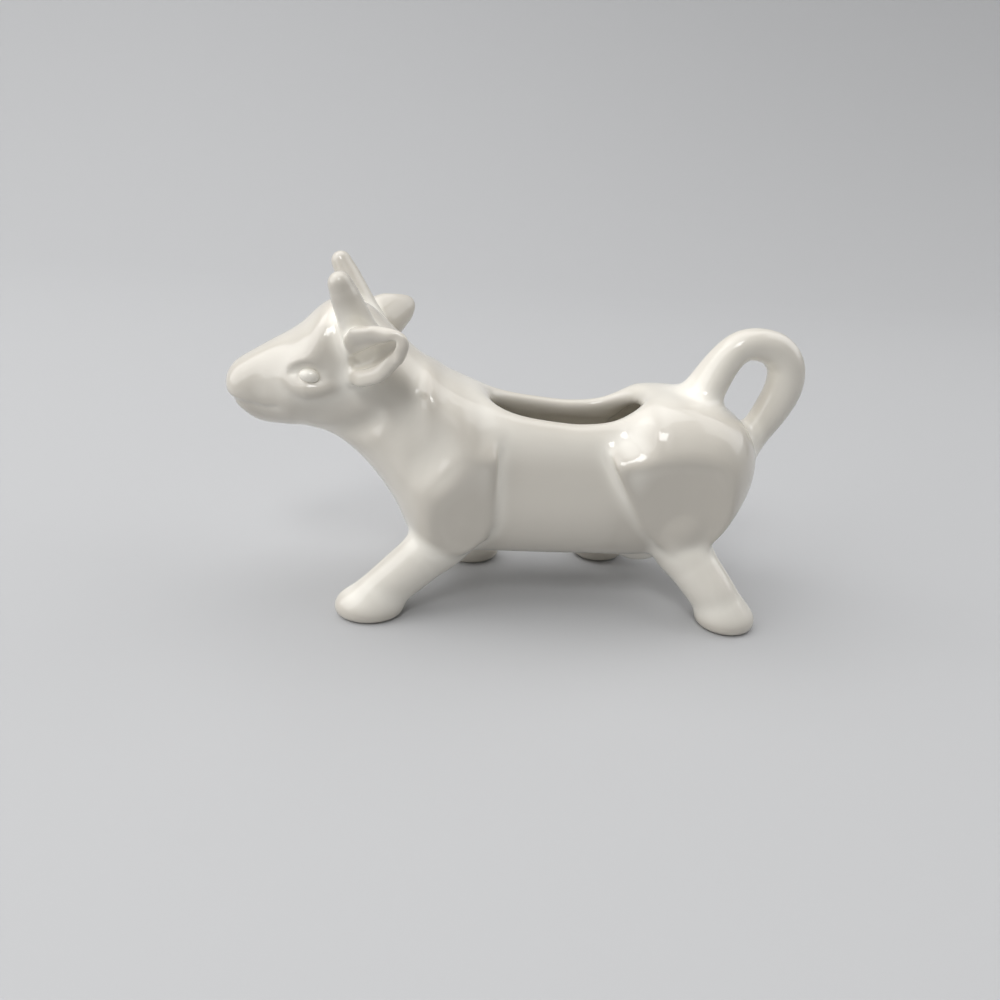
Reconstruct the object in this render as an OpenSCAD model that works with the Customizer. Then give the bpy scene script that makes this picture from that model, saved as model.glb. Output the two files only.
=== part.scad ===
// Cream jug in the form of a standing cow, in glazed porcelain. It is filled through the opening in
// the back, poured from the mouth and held by the looped tail. Head toward -X, tail toward +X, the
// cow's left side toward -Y, and the four soles on the plane Z = 0.

/* [Torso] */
// Length of the haunches, from the rump's end to the rear end of the opening
haunch_length = 37.5; // [34:0.5:42]
// Length of the shoulders, from the front end of the opening to the chest
shoulder_length = 21.5; // [20:0.5:25]
// Full width across the haunches and shoulders
torso_width = 49; // [46:0.5:54]
// Depth of the torso, from the belly to the top of the haunches
torso_depth = 52; // [49:0.5:56]
// Height of the belly above the table
belly_height = 15; // [14:0.25:17]
// Wall of the hollow castings
wall = 3; // [2.5:0.25:3.5]

/* [Opening] */
// Length of the opening in the back
opening_length = 45; // [40:0.5:50]
// Width of the opening between the inner edges of its rim
opening_width = 19; // [16:0.5:25]

/* [Neck] */
// Length of the neck along the back, from the shoulders to the nape
neck_length = 18; // [16:0.5:20]
// How far the throat rises from the chest to the jaw
throat_rise = 24.7; // [23:0.1:27]
// Full width of the neck at its narrowest
neck_width = 27.6; // [26:0.1:30]

/* [Head] */
// Length of the head from the nape to the tip of the muzzle
head_length = 40; // [38:0.5:43]
// Depth of the head from the crown to the jaw
head_depth = 38.9; // [37:0.1:41]
// Full width of the head at the eyes
head_width = 30; // [28:0.5:32]
// Width of the pouring mouth
mouth_width = 9; // [8:0.25:10]
// Height of the pouring mouth
mouth_height = 6; // [5.5:0.1:6.5]

/* [Horns, ears and eyes] */
// Height of the left horn's tip above its place on the head
left_horn_length = 12.5; // [10:0.5:15]
// Height of the right horn's tip above its place on the head
right_horn_length = 14; // [11:0.5:17]
// Thickness of a horn at its base
horn_base = 9; // [7.5:0.25:10]
// Spread between the tips of the two horns
horn_spread = 29; // [26:0.5:32]
// Full width across the tips of the two ears
ear_spread = 57; // [52:0.5:60]
// Width of an ear from its upper edge to its lower edge
ear_width = 14; // [12:0.25:15]
// Thickness of an ear through its cupped middle
ear_thickness = 3.4; // [3:0.1:4]
// Diameter of an eye bead
eye_diameter = 5.2; // [4.5:0.1:6]

/* [Legs] */
// Thickness of a leg at the shank
shank_thickness = 13.5; // [12:0.25:15]
// Length of a fore hoof
fore_hoof_length = 20; // [18:0.25:22]
// Length of a hind hoof
hind_hoof_length = 17.5; // [16:0.25:19]
// Width of a hoof
hoof_width = 16; // [14:0.25:18]
// Distance between the middles of the two fore hooves
fore_track = 37; // [35:0.5:40]
// Distance between the middles of the two hind hooves
hind_track = 44; // [41:0.5:46]
// How far the left fore hoof stands ahead of its shoulder
fore_stride = 22; // [18:0.5:24]
// How far the right fore hoof stands behind its shoulder
fore_trail = 8.5; // [6:0.5:12]
// How far the right hind hoof stands ahead of its hip
hind_stride = 16; // [12:0.5:18]
// How far the left hind hoof stands behind its hip
hind_trail = 15; // [12:0.5:17]

/* [Tail and udder] */
// Height of the tail's loop above the haunches
tail_rise = 19.5; // [16:0.5:22]
// How far the tail's loop stands behind the rump
tail_reach = 12.3; // [10:0.1:14]
// Thickness of the tail along its loop
tail_thickness = 10.2; // [9:0.1:11]
// Width of the udder
udder_width = 17; // [14:0.5:19]
// Length of the udder
udder_length = 20; // [16:0.5:22]
// How far the udder hangs below the belly
udder_drop = 4.2; // [3:0.1:5]

/* [Hidden] */

glaze = [0.92, 0.905, 0.875];

// Which side a limb is on, and a direction along the Y axis
left = -1;
right = 1;

// Facets round a section of the body, round a leg or the tail, and round a horn or an ear
section_sides = 40;
limb_sides = 24;
horn_sides = 16;
// Rows of facets from one section to the next, along the opening, and round its rim
steps_per_section = 2;
opening_steps = 12;
rim_steps = 4;
// Sides of a row, on each side of the cow, that close up towards the edge of the opening
spared_sides = 9;

// The back's profile runs from the rump to the muzzle. Each row is one section: where its top and its
// bottom lie along and up, its half width, how much wider it is above than below, and the power of
// its curve, where 2 is an ellipse and more is squarer.
// Haunch rows: along in haunch lengths, up in torso depths, wide in torso half widths
haunch_shares = [
    [0.000, 0.610, 0.010, 0.530, 0.08, 0.00, 2.0],
    [0.020, 0.705, 0.060, 0.390, 0.39, 0.00, 2.0],
    [0.080, 0.795, 0.150, 0.255, 0.63, 0.00, 2.1],
    [0.200, 0.890, 0.265, 0.130, 0.85, 0.02, 2.2],
    [0.373, 0.956, 0.385, 0.050, 0.97, 0.04, 2.2],
    [0.573, 0.990, 0.480, 0.013, 1.00, 0.05, 2.2],
    [0.787, 1.000, 0.530, 0.002, 1.00, 0.06, 2.2],
    [1.000, 0.983, 0.575, 0.000, 0.99, 0.06, 2.3],
];
// Step rows: the haunch ends in a step that slants down and back. Along in haunch lengths.
step_shares = [
    [1.269, 0.921, 0.602, 0.000, 0.97, 0.06, 2.4],
    [1.376, 0.908, 0.709, 0.000, 0.79, 0.00, 2.8],
];
// Waist rows: along in opening lengths. The last three rise to the shoulder in an upright step.
waist_shares = [
    [0.450, 0.901, 0.200, 0.000, 0.79, 0.00, 2.9],
    [0.620, 0.914, 0.560, 0.000, 0.79, 0.00, 2.9],
    [0.855, 0.945, 0.845, 0.000, 0.79, 0.00, 2.8],
    [0.945, 0.960, 0.935, 0.000, 0.93, 0.00, 2.5],
    [1.000, 0.971, 1.000, 0.000, 0.96, -0.02, 2.4],
];
// Shoulder rows: along in shoulder lengths
shoulder_shares = [
    [0.280, 1.006, 0.465, 0.006, 0.98, -0.04, 2.3],
    [0.480, 1.042, 0.790, 0.048, 0.95, -0.05, 2.2],
    [0.650, 1.088, 0.977, 0.163, 0.88, -0.05, 2.1],
];
// Neck rows: along in neck lengths, up in shares of the rise of nape and throat, and wide as a share
// of the way from the chest's width to the neck's
neck_shares = [
    [0.194, 0.150, 0.156, 0.260, 0.295, -0.04, 2.1],
    [0.383, 0.330, 0.367, 0.500, 0.577, -0.02, 2.1],
    [0.572, 0.540, 0.589, 0.710, 0.795, 0.00, 2.1],
    [0.778, 0.770, 0.822, 0.885, 0.949, 0.02, 2.1],
];
// Head rows: along in head lengths, up in head depths, wide in head half widths
head_shares = [
    [0.0000, 0.985, 0.2075, 0.020, 0.92, 0.04, 2.1],
    [0.1375, 1.036, 0.3250, 0.082, 0.97, 0.08, 2.1],
    [0.2750, 1.015, 0.4425, 0.102, 1.00, 0.12, 2.1],
    [0.3950, 0.912, 0.5500, 0.103, 0.92, 0.10, 2.1],
    [0.5375, 0.802, 0.6575, 0.095, 0.76, 0.06, 2.1],
    [0.6875, 0.712, 0.7575, 0.105, 0.64, 0.02, 2.1],
    [0.8250, 0.627, 0.8400, 0.136, 0.60, 0.00, 2.1],
    [0.9250, 0.560, 0.9075, 0.195, 0.53, 0.00, 2.1],
    [0.9775, 0.496, 0.9625, 0.278, 0.37, 0.00, 2.0],
    [1.0000, 0.427, 0.9975, 0.375, 0.13, 0.00, 2.0],
];

// Places along the cow, measured from the middle of its length
shoulder_end_share = shoulder_shares[len(shoulder_shares) - 1][0];
cow_length = tail_reach + haunch_length + opening_length + shoulder_length * shoulder_end_share
    + neck_length + head_length;
rump_x = cow_length / 2 - tail_reach;
opening_back_x = rump_x - haunch_length;
opening_front_x = opening_back_x - opening_length;
nape_x = opening_front_x - shoulder_length * shoulder_end_share - neck_length;
jaw_z = belly_height + torso_depth * shoulder_shares[len(shoulder_shares) - 1][3] + throat_rise;
haunch_top_z = belly_height + torso_depth;

// One section in real sizes: its top, its bottom, its half width, its flare and its power
function section(x0, z0, length, depth, half_width, row) = [
    [x0 - row[0] * length, z0 + row[1] * depth],
    [x0 - row[2] * length, z0 + row[3] * depth],
    half_width * row[4], row[5], row[6],
];
function torso_section(x0, length, row) =
    section(x0, belly_height, length, torso_depth, torso_width / 2, row);

torso_sections = [
    for (row = concat(haunch_shares, step_shares)) torso_section(rump_x, haunch_length, row),
    for (row = waist_shares) torso_section(opening_back_x, opening_length, row),
    for (row = shoulder_shares) torso_section(opening_front_x, shoulder_length, row),
];
chest = torso_sections[len(torso_sections) - 1];
head_sections = [
    for (row = head_shares) section(nape_x, jaw_z, head_length, head_depth, head_width / 2, row),
];

// A neck section starts from the chest's and is wide by its share of the way from chest to head
crown_rise = head_sections[0][0][1] - chest[0][1];
function neck_section(row) = [
    chest[0] + [-row[0] * neck_length, row[1] * crown_rise],
    chest[1] + [-row[2] * neck_length, row[3] * throat_rise],
    chest[2] + row[4] * (neck_width / 2 - chest[2]),
    row[5], row[6],
];
neck_sections = [for (row = neck_shares) neck_section(row)];

sections = concat(torso_sections, neck_sections, head_sections);

// Places in the list of sections where one casting ends and the next begins
opening_back_at = len(haunch_shares) - 1;
opening_front_at = opening_back_at + len(step_shares) + len(waist_shares);
chest_at = len(torso_sections) - 1;
collar_at = chest_at + len(neck_shares) - 1;
muzzle_at = len(sections) - 1;

// Where the rows of facets lie, in sections: even steps, but closer at both ends of the opening
function even_steps(from, to) = [
    for (i = [1 : (to - from) * steps_per_section]) from + i / steps_per_section
];
row_places = [
    0,
    each even_steps(0, opening_back_at),
    for (i = [1 : opening_steps])
        opening_back_at + (opening_front_at - opening_back_at) * (1 - cos(180 * i / opening_steps)) / 2,
    each even_steps(opening_front_at, muzzle_at),
];
opening_back_row = opening_back_at * steps_per_section;
opening_front_row = opening_back_row + opening_steps;
chest_row = opening_front_row + (chest_at - opening_front_at) * steps_per_section;
collar_row = chest_row + (collar_at - chest_at) * steps_per_section;
muzzle_row = len(row_places) - 1;

// A smooth curve through a list of numbers or points, at a place counted in its entries
function eased(a, b, c, d, t) =
    b + (c - a) * t / 2 + (2 * a - 5 * b + 4 * c - d) * t * t / 2 + (3 * b - a - 3 * c + d) * t * t * t / 2;
function along(list, place) =
    let (last = len(list) - 1, i = min(floor(place), last - 1), t = place - i)
    eased(list[max(i - 1, 0)], list[i], list[i + 1], list[min(i + 2, last)], t);

// Half the width of the opening's outer edge at a row. It is an oval that comes to nothing at both
// ends.
function opening_half(row) =
    row <= opening_back_row || row >= opening_front_row ? 0
    : let (
        x = along(sections, row_places[row])[0][0],
        share = (x - (opening_back_x + opening_front_x) / 2) / (opening_length / 2)
    )
    (opening_width + wall) / 2 * sqrt(1 - share * share);

function signed_power(value, power) = sign(value) * pow(abs(value), power);

// The point of a section at a turn, which starts at its top and goes down the right side
function surface_point(s, turn) =
    let (
        up = signed_power(cos(turn), 2 / s[4]),
        out = signed_power(sin(turn), 2 / s[4]),
        middle = (s[0] + s[1]) / 2,
        half = (s[0] - s[1]) / 2
    )
    [middle[0] + half[0] * up, s[2] * out * (1 + s[3] * up), middle[1] + half[1] * up];

// The turn of a row's point. Points near the opening close up towards its edge at the start turn, and
// the points below them stay in line from row to row.
function row_turn(start, k) =
    k == section_sides && start == 0 ? 0
    : k < spared_sides ? start + (360 * spared_sides / section_sides - start) * k / spared_sides
    : k > section_sides - spared_sides ? 360 - row_turn(start, section_sides - k)
    : 360 * k / section_sides;

// The points of one row, from the right edge of the opening round under the belly to its left edge
function row_points(row) =
    let (
        s = along(sections, row_places[row]),
        start = asin(pow(opening_half(row) / s[2], s[4] / 2))
    )
    [for (k = [0 : section_sides]) surface_point(s, row_turn(start, k))];

function unit(v) = norm(v) == 0 ? v : v / norm(v);

outer_rows = [for (row = [0 : muzzle_row]) row_points(row)];

// The inside follows the outside at the wall's thickness, square to the surface
function inner_point(row, k) =
    let (
        closed = opening_half(row) == 0,
        before = k > 0 ? k - 1 : closed ? section_sides - 1 : 0,
        after = k < section_sides ? k + 1 : closed ? 1 : section_sides,
        around = outer_rows[row][after] - outer_rows[row][before],
        onward = outer_rows[min(row + 1, muzzle_row)][k] - outer_rows[max(row - 1, 0)][k]
    )
    outer_rows[row][k] - wall * unit(cross(around, onward));
inner_rows = [for (row = [0 : muzzle_row]) [for (k = [0 : section_sides]) inner_point(row, k)]];

// The rounded edge of the opening at a row, from outside to inside
function rim_points(row, k, next) =
    let (
        outside = outer_rows[row][k],
        inside = inner_rows[row][k],
        reach = min(wall / 2, opening_half(row) / 2),
        inward = unit(outside - outer_rows[row][next])
    )
    [for (i = [0 : rim_steps])
        let (turn = 180 * i / rim_steps)
        i == 0 ? outside
        : i == rim_steps ? inside
        : (outside + inside) / 2 + (outside - inside) / 2 * cos(turn) + inward * reach * sin(turn)
    ];

// Triangles between rows of points, and over a closed ring
function strip(rows) = [
    for (i = [0 : len(rows) - 2], k = [0 : len(rows[i]) - 2])
        each [
            [rows[i][k], rows[i + 1][k + 1], rows[i][k + 1]],
            [rows[i][k], rows[i + 1][k], rows[i + 1][k + 1]],
        ]
];
function turned(triangles) = [for (t = triangles) [t[2], t[1], t[0]]];
function total(points, i = 1) = i == len(points) - 1 ? points[i] : points[i] + total(points, i + 1);
function middle_of(ring) = total(ring) / (len(ring) - 1);
function cap(ring) = [for (k = [0 : len(ring) - 2]) [middle_of(ring), ring[k], ring[k + 1]]];
function rows_between(rows, from, to) = [for (row = [from : to]) rows[row]];
function kept(triangles) = [for (t = triangles) if (t[0] != t[1] && t[1] != t[2] && t[2] != t[0]) t];

module skin(triangles) {
    solid = kept(triangles);
    polyhedron(
        points = [for (t = solid) each t],
        faces = [for (i = [0 : len(solid) - 1]) [3 * i, 3 * i + 1, 3 * i + 2]]
    );
}

// The outer form as a full solid, from one row to another, to trim what is luted on to it
module core(from, to) {
    rows = [for (ring = rows_between(outer_rows, from, to)) concat(ring, [ring[0]])];
    skin(concat(strip(rows), cap(rows[0]), turned(cap(rows[len(rows) - 1]))));
}
module torso_core() {
    core(0, chest_row);
}
module head_core() {
    core(collar_row, muzzle_row);
}

module torso_shell() {
    rim_rows = [opening_back_row : opening_front_row];
    right_rim = [for (row = rim_rows) rim_points(row, 0, 1)];
    left_rim = [for (row = rim_rows) rim_points(row, section_sides, section_sides - 1)];
    color(glaze)
        skin(concat(
            strip(rows_between(outer_rows, 0, chest_row)),
            turned(strip(rows_between(inner_rows, 0, chest_row))),
            cap(outer_rows[0]),
            turned(cap(inner_rows[0])),
            strip([outer_rows[chest_row], inner_rows[chest_row]]),
            turned(strip(right_rim)),
            strip(left_rim)
        ));
}

module neck_shell() {
    color(glaze)
        skin(concat(
            strip(rows_between(outer_rows, chest_row, collar_row)),
            turned(strip(rows_between(inner_rows, chest_row, collar_row))),
            turned(strip([outer_rows[chest_row], inner_rows[chest_row]])),
            strip([outer_rows[collar_row], inner_rows[collar_row]])
        ));
}

// The pouring mouth opens forward through the muzzle's wall, sloping down and outward
mouth_forward_share = 0.93;
mouth_up_share = 0.235;
mouth_slope = 8;
mouth_depth = 12;
module mouth_bore() {
    translate([nape_x - mouth_forward_share * head_length, 0, jaw_z + mouth_up_share * head_depth])
        rotate([0, -90 - mouth_slope, 0])
            linear_extrude(mouth_depth, center = true) {
                square([mouth_height, mouth_width - mouth_height], center = true);
                for (side = [left, right])
                    translate([0, side * (mouth_width - mouth_height) / 2])
                        circle(d = mouth_height, $fn = limb_sides);
            }
}

module head_shell() {
    color(glaze)
        difference() {
            skin(concat(
                strip(rows_between(outer_rows, collar_row, muzzle_row)),
                turned(strip(rows_between(inner_rows, collar_row, muzzle_row))),
                turned(strip([outer_rows[collar_row], inner_rows[collar_row]])),
                turned(cap(outer_rows[muzzle_row])),
                cap(inner_rows[muzzle_row])
            ));
            mouth_bore();
        }
}

// A limb is a stack of level ovals. Each is a height, a middle, a half length and a half width.
function oval(z, middle, half_length, half_width) = [
    for (k = [0 : limb_sides])
        let (turn = k == limb_sides ? 0 : 360 * k / limb_sides)
        [middle[0] + half_length * sin(turn), middle[1] + half_width * cos(turn), z]
];
module stack(ovals) {
    skin(concat(turned(strip(ovals)), turned(cap(ovals[0])), cap(ovals[len(ovals) - 1])));
}

// Leg rows from the sole up: height in belly heights, the share of the way from hoof to shoulder or
// hip along and across, and the half length and half width, first as shares of the hoof's and then
// as shares of the shank's
hoof_shares = [
    [0.000, 0.00, 0.00, 0.84, 0.82],
    [0.070, 0.00, 0.00, 0.95, 0.95],
    [0.200, 0.01, 0.00, 1.00, 1.00],
    [0.380, 0.06, 0.02, 0.94, 0.95],
];
shank_shares = [
    [0.600, 0.20, 0.07, 1.06, 1.04],
    [0.800, 0.38, 0.15, 1.02, 0.98],
    [1.000, 0.55, 0.27, 1.04, 0.99],
    [1.250, 0.73, 0.45, 1.14, 1.06],
    [1.500, 0.88, 0.66, 1.26, 1.14],
    [1.900, 0.98, 0.86, 1.20, 1.06],
    [2.300, 1.00, 1.00, 0.90, 0.80],
];
leg_steps = 2;

// Where the legs meet the torso: along the shoulders and haunches, and out from the middle
shoulder_share = 0.42;
hip_share = 0.44;
leg_top_share = 0.53;
shoulder_x = opening_front_x - shoulder_share * shoulder_length;
hip_x = opening_back_x + hip_share * haunch_length;
leg_top_y = leg_top_share * torso_width / 2;

module leg(top_x, stride, side, track, hoof_length) {
    foot = [top_x - stride, side * track / 2];
    top = [top_x, side * leg_top_y];
    rows = concat(
        [for (row = hoof_shares) leg_row(row, foot, top, hoof_length, hoof_width)],
        [for (row = shank_shares) leg_row(row, foot, top, shank_thickness, shank_thickness)]
    );
    last = len(rows) - 1;
    places = [for (i = [0 : last * leg_steps]) along(rows, i / leg_steps)];
    stack([
        for (i = [0 : len(places) - 1])
            let (p = places[i], lean = i < len(hoof_shares) ? 0 : lean_at(places, i))
            oval(p[0], [p[1], p[2]], p[3] * norm([1, lean]), p[4])
    ]);
}
function leg_row(row, foot, top, length, width) = [
    row[0] * belly_height,
    foot[0] + (top[0] - foot[0]) * row[1],
    foot[1] + (top[1] - foot[1]) * row[2],
    row[3] * length / 2,
    row[4] * width / 2,
];
function lean_at(places, i) =
    let (below = places[max(i - 1, 0)], above = places[min(i + 1, len(places) - 1)])
    (above[1] - below[1]) / (above[0] - below[0]);

module foreleg_left() {
    color(glaze)
        difference() {
            leg(shoulder_x, fore_stride, left, fore_track, fore_hoof_length);
            torso_core();
        }
}
module foreleg_right() {
    color(glaze)
        difference() {
            leg(shoulder_x, -fore_trail, right, fore_track, fore_hoof_length);
            torso_core();
        }
}
module hindleg_left() {
    color(glaze)
        difference() {
            leg(hip_x, -hind_trail, left, hind_track, hind_hoof_length);
            torso_core();
        }
}
module hindleg_right() {
    color(glaze)
        difference() {
            leg(hip_x, hind_stride, right, hind_track, hind_hoof_length);
            torso_core();
        }
}

// Udder: a shallow dome between the hind legs, with its root trimmed to the belly
udder_share = 0.2;
udder_root = 4;
dome_steps = 6;
dome_start = 5;
module udder() {
    color(glaze)
        difference() {
            stack([
                for (i = [0 : dome_steps])
                    let (turn = dome_start + (90 - dome_start) * i / dome_steps)
                    oval(
                        belly_height + udder_root - (udder_drop + udder_root) * cos(turn),
                        [opening_back_x + udder_share * haunch_length, 0],
                        udder_length / 2 * sin(turn),
                        udder_width / 2 * sin(turn)
                    )
            ]);
            torso_core();
        }
}

// A tube along a line of rows. Each row is a point and two half sizes, across the line and sideways.
function tube_ring(rows, place, side_way, sides) =
    let (
        here = along(rows, place),
        step = 1 / (2 * steps_per_section),
        ahead = along(rows, min(place + step, len(rows) - 1))[0] - along(rows, max(place - step, 0))[0],
        across = unit(cross(side_way, ahead)),
        sideways = unit(cross(ahead, across))
    )
    [for (k = [0 : sides])
        let (turn = k == sides ? 0 : 360 * k / sides)
        here[0] + across * here[1] * cos(turn) + sideways * here[2] * sin(turn)
    ];
module tube(rows, side_way, sides) {
    rings = [
        for (i = [0 : (len(rows) - 1) * steps_per_section])
            tube_ring(rows, i / steps_per_section, side_way, sides)
    ];
    skin(concat(strip(rings), cap(rings[0]), turned(cap(rings[len(rings) - 1]))));
}

// Tail rows from the back to the rump: ahead of the loop's end in tail spans, above the haunches in
// loop rises, and the thickness and the width in tail thicknesses
tail_shares = [
    [0.97, -0.60, 1.30, 2.00],
    [0.83, 0.02, 1.14, 1.45],
    [0.70, 0.57, 1.00, 1.08],
    [0.56, 0.92, 0.92, 0.96],
    [0.38, 1.02, 0.92, 0.94],
    [0.17, 0.91, 0.98, 0.94],
    [0.03, 0.58, 1.05, 0.94],
    [0.01, 0.13, 1.10, 0.94],
    [0.09, -0.36, 1.04, 0.92],
    [0.21, -0.85, 0.92, 0.90],
    [0.30, -1.28, 0.92, 0.94],
    [0.40, -1.66, 1.05, 1.05],
    [0.58, -1.95, 1.10, 1.10],
];
// Distance from the tail's front root to the end of its loop, between the middles of the tail
tail_span = 29.2;
module tail_handle() {
    loop_rise = tail_rise - tail_thickness / 2;
    loop_end_x = cow_length / 2 - tail_thickness / 2;
    rows = [
        for (row = tail_shares) [
            [loop_end_x - row[0] * tail_span, 0, haunch_top_z + row[1] * loop_rise],
            row[2] * tail_thickness / 2,
            row[3] * tail_thickness / 2,
        ]
    ];
    color(glaze)
        difference() {
            tube(rows, [0, 1, 0], limb_sides);
            torso_core();
        }
}

// A place on the head: its share of the sections from chest to muzzle, and its turn down from the crown
function head_point(share, turn) =
    surface_point(along(sections, chest_at + share * (muzzle_at - chest_at)), turn);
horn_share = 0.4;
horn_angle = 38;
ear_share = 0.35;
ear_angle = 63;
eye_share = 0.518;
eye_angle = 85;

// Horn rows: up in horn lengths, thick in horn bases
horn_shares = [
    [-0.60, 1.20],
    [-0.20, 1.12],
    [0.20, 1.00],
    [0.50, 0.86],
    [0.75, 0.70],
    [0.90, 0.50],
    [0.98, 0.26],
    [1.00, 0.08],
];
// How far each horn's tip lies forward of its place on the head
left_horn_forward = 3.4;
right_horn_forward = 6.4;
module horn_core(horn_length, forward) {
    root = head_point(horn_share, horn_angle);
    tip = [root[0] - forward, horn_spread / 2, root[2] + horn_length];
    rows = [
        for (row = horn_shares)
            [root + (tip - root) * row[0], row[1] * horn_base / 2, row[1] * horn_base / 2]
    ];
    tube(rows, [0, 1, 0], horn_sides);
}
module horn(horn_length, forward) {
    difference() {
        horn_core(horn_length, forward);
        head_core();
    }
}
module horn_right() {
    color(glaze) horn(right_horn_length, right_horn_forward);
}
module horn_left() {
    color(glaze) mirror([0, 1, 0]) horn(left_horn_length, left_horn_forward);
}

// Ear rows: along the ear's reach, wide in ear widths, thick in ear thicknesses
ear_shares = [
    [-0.35, 0.62, 1.50],
    [0.00, 0.80, 1.20],
    [0.30, 0.97, 1.00],
    [0.55, 1.00, 0.95],
    [0.78, 0.84, 0.90],
    [0.93, 0.52, 0.80],
    [1.00, 0.14, 0.40],
];
// How far an ear's tip lies behind and above its place on the head, and how deep the ear is cupped
ear_back = 13;
ear_lift = 4.5;
ear_cup = 3.4;
module ear(horn_length, forward) {
    root = head_point(ear_share, ear_angle);
    tip = [root[0] + ear_back, ear_spread / 2, root[2] + ear_lift];
    axis = unit(tip - root);
    front = unit(cross([0, 0, 1], axis));
    up = cross(axis, front);
    rings = [
        for (i = [0 : (len(ear_shares) - 1) * steps_per_section])
            let (row = along(ear_shares, i / steps_per_section))
            [for (k = [0 : horn_sides])
                let (turn = k == horn_sides ? 0 : -360 * k / horn_sides)
                root + (tip - root) * row[0]
                    + up * cos(turn) * row[1] * ear_width / 2
                    + front * sin(turn) * row[2] * ear_thickness / 2
                    - front * sin(turn) * sin(turn) * row[1] * ear_cup
            ]
    ];
    difference() {
        skin(concat(strip(rings), cap(rings[0]), turned(cap(rings[len(rings) - 1]))));
        head_core();
        horn_core(horn_length, forward);
    }
}
module ear_right() {
    color(glaze) ear(right_horn_length, right_horn_forward);
}
module ear_left() {
    color(glaze) mirror([0, 1, 0]) ear(left_horn_length, left_horn_forward);
}

// Eye: a round bead whose middle sinks into the side of the head
eye_sink = 1;
module eye() {
    difference() {
        translate(head_point(eye_share, eye_angle) - [0, eye_sink, 0])
            sphere(d = eye_diameter, $fn = limb_sides);
        head_core();
    }
}
module eye_right() {
    color(glaze) eye();
}
module eye_left() {
    color(glaze) mirror([0, 1, 0]) eye();
}

torso_shell();
neck_shell();
head_shell();
foreleg_left();
foreleg_right();
hindleg_left();
hindleg_right();
tail_handle();
horn_left();
horn_right();
ear_left();
ear_right();
eye_left();
eye_right();
udder();
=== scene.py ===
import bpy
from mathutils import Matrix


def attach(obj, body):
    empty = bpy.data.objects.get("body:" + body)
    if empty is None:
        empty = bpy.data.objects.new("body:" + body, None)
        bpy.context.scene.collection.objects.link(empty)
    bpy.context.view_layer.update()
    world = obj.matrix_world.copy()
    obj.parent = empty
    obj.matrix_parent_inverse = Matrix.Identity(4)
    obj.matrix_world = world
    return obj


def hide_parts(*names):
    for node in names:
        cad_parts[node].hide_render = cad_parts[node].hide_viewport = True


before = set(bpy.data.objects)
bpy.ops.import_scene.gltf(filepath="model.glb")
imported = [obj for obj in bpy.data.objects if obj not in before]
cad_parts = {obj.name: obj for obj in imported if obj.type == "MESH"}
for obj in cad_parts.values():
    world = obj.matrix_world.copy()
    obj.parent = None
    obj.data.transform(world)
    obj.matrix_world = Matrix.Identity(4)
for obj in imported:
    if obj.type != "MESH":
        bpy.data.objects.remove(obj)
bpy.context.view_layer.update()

# Torso. A hollow casting in porcelain slip, poured into a plaster mould and drained, which leaves a
# wall of about 3 mm. Haunches and shoulders stand proud of a flat-sided barrel. The soft clay is held
# as distances to its surface, in mm, on a fine grid, so that each joint can be luted and sponged smooth.
import math

import bmesh
import bpy
import numpy as np
import openvdb
from mathutils import Matrix, Vector

clay_step = 0.6
clay_low = np.array((-88.5, -33.9, -3.9))
clay_size = (296, 114, 182)
X, Y, Z = (
    (clay_low[axis] + clay_step * np.arange(clay_size[axis], dtype=np.float32)).reshape(
        [-1 if axis == other else 1 for other in range(3)])
    for axis in range(3)
)


def join(a, b, blend):
    """Two forms luted together, with the joint sponged to a fillet."""
    h = np.clip(0.5 + 0.5 * (b - a) / blend, 0, 1)
    return b + (a - b) * h - blend * h * (1 - h)


def meet(a, b, blend):
    """What two forms share, with the edge rounded."""
    return -join(-a, -b, blend)


def carve(a, b, blend):
    """The first form with the second cut away, with the edge rounded."""
    return -join(-a, b, blend)


def along(rows, place):
    """A smooth line through rows of numbers, read at places counted in rows."""
    rows = np.asarray(rows, float)
    place = np.atleast_1d(np.asarray(place, float))
    last = len(rows) - 1
    i = np.clip(np.floor(place).astype(int), 0, last - 1)
    t = (place - i)[:, None]
    a, b, c, d = rows[np.maximum(i - 1, 0)], rows[i], rows[i + 1], rows[np.minimum(i + 2, last)]
    return (b + (c - a) * t / 2 + (2 * a - 5 * b + 4 * c - d) * t ** 2 / 2
            + (3 * b - a - 3 * c + d) * t ** 3 / 2)


def sections(x0, z0, length, depth, half_width, shares):
    """Rows of top and bottom points, half width, flare and squareness, in mm."""
    return [
        [x0 - s[0] * length, z0 + s[1] * depth, x0 - s[2] * length, z0 + s[3] * depth,
         half_width * s[4], s[5], s[6], s[-1]]
        for s in shares
    ]


def level(points, tris, quads):
    """Distances in mm from a closed skin, given in grid steps."""
    reach = 14
    skin = openvdb.FloatGrid.createLevelSetFromPolygons(
        points.astype(np.float32), triangles=tris.astype(np.uint32), quads=quads.astype(np.uint32),
        transform=openvdb.createLinearTransform(1.0), halfWidth=reach)
    distance = np.full(clay_size, reach, np.float32)
    skin.copyToArray(distance)
    return distance * clay_step


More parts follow.
